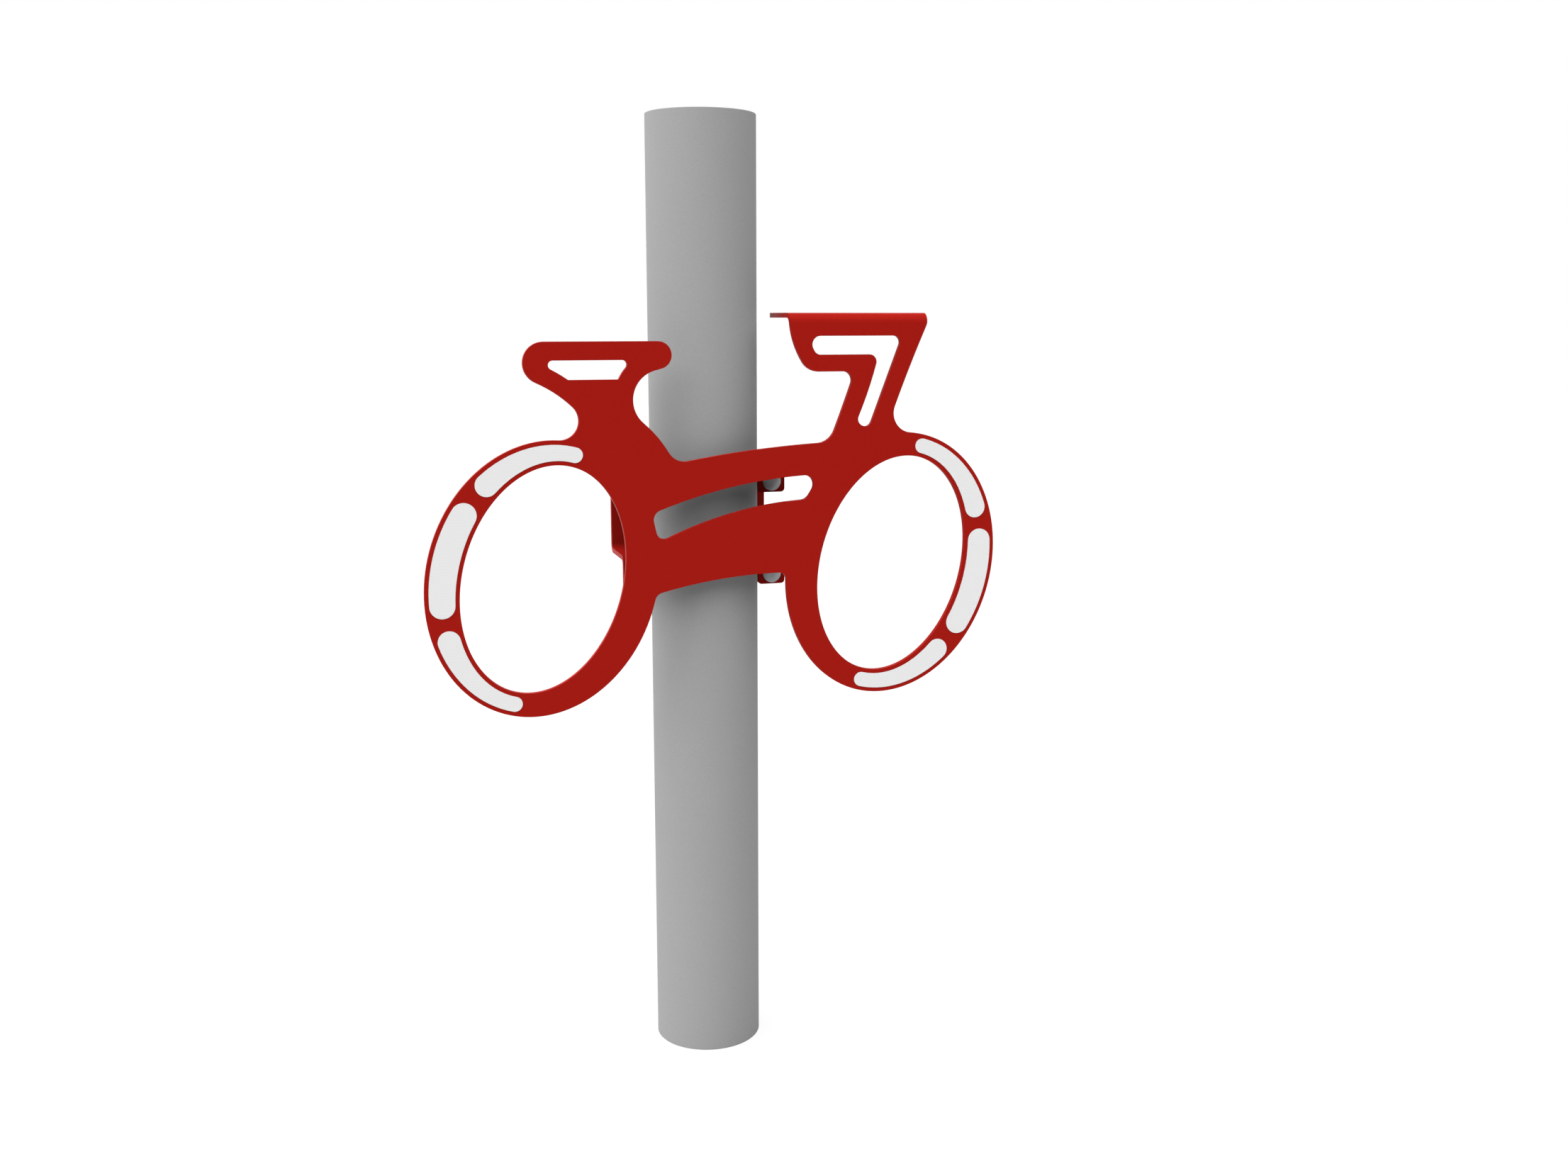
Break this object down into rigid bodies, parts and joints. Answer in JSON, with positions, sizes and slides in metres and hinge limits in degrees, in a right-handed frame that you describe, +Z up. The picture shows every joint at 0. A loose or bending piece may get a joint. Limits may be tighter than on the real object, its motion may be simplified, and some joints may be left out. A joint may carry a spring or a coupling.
{
  "type": "pole mounted bike hook",
  "caption": "Steel bike hook for a round pole: a flat bicycle outline with reflective strips, a folded handlebar shelf and a two-part bolted pole clamp.",
  "frame": {"origin": "on the pole's axis, at the pole's foot", "axes": "+X along the bicycle towards its front wheel, +Y from the bicycle back towards and through the pole, +Z up the pole"},
  "size_m": [0.6016, 0.157, 1],
  "materials": {
    "pole_steel": "matt grey painted steel tube",
    "red_powder_coat": "glossy red powder coat",
    "reflective_film": "white reflective film",
    "zinc_plate": "zinc plated steel"
  },
  "bodies": {
    "pole": {"pole": "pole_steel"},
    "hook": {"bike_plate": "red_powder_coat", "front_bracket_upper": "red_powder_coat", "front_bracket_lower": "red_powder_coat", "reflector_rear_upper": "reflective_film", "reflector_rear_middle": "reflective_film", "reflector_rear_lower": "reflective_film", "reflector_front_upper": "reflective_film", "reflector_front_middle": "reflective_film", "reflector_front_lower": "reflective_film", "coach_bolt_upper_left": "zinc_plate", "coach_bolt_upper_right": "zinc_plate", "coach_bolt_lower_left": "zinc_plate", "coach_bolt_lower_right": "zinc_plate"},
    "clamp_back": {"rear_clamp": "red_powder_coat", "washer_upper_left": "zinc_plate", "washer_upper_right": "zinc_plate", "washer_lower_left": "zinc_plate", "washer_lower_right": "zinc_plate"},
    "nut_upper_left": {"nut_upper_left": "zinc_plate"},
    "nut_upper_right": {"nut_upper_right": "zinc_plate"},
    "nut_lower_left": {"nut_lower_left": "zinc_plate"},
    "nut_lower_right": {"nut_lower_right": "zinc_plate"}
  },
  "joints": [
    {"name": "hook_height", "type": "slide", "parent": "pole", "child": "hook", "axis": [0, 0, 1], "range_m": [-0.39, 0.35]},
    {"name": "clamp_opening", "type": "slide", "parent": "hook", "child": "clamp_back", "axis": [0, 1, 0], "range_m": [0, 0.011]},
    {"name": "nut_spin_upper_left", "type": "hinge", "parent": "clamp_back", "child": "nut_upper_left", "pos_m": [-0.07275, 0.0155, 0.6215], "axis": [0, 1, 0], "range_deg": [0, 3169]},
    {"name": "nut_spin_upper_right", "type": "hinge", "parent": "clamp_back", "child": "nut_upper_right", "pos_m": [0.07275, 0.0155, 0.6215], "axis": [0, 1, 0], "range_deg": [0, 3169]},
    {"name": "nut_spin_lower_left", "type": "hinge", "parent": "clamp_back", "child": "nut_lower_left", "pos_m": [-0.07275, 0.0155, 0.5215], "axis": [0, 1, 0], "range_deg": [0, 3169]},
    {"name": "nut_spin_lower_right", "type": "hinge", "parent": "clamp_back", "child": "nut_lower_right", "pos_m": [0.07275, 0.0155, 0.5215], "axis": [0, 1, 0], "range_deg": [0, 3169]}
  ],
  "couplings": [
    {"joint": "nut_spin_upper_left", "follows": "clamp_opening", "rad_per_m": 5026.5},
    {"joint": "nut_spin_upper_right", "follows": "clamp_opening", "rad_per_m": 5026.5},
    {"joint": "nut_spin_lower_left", "follows": "clamp_opening", "rad_per_m": 5026.5},
    {"joint": "nut_spin_lower_right", "follows": "clamp_opening", "rad_per_m": 5026.5}
  ]
}
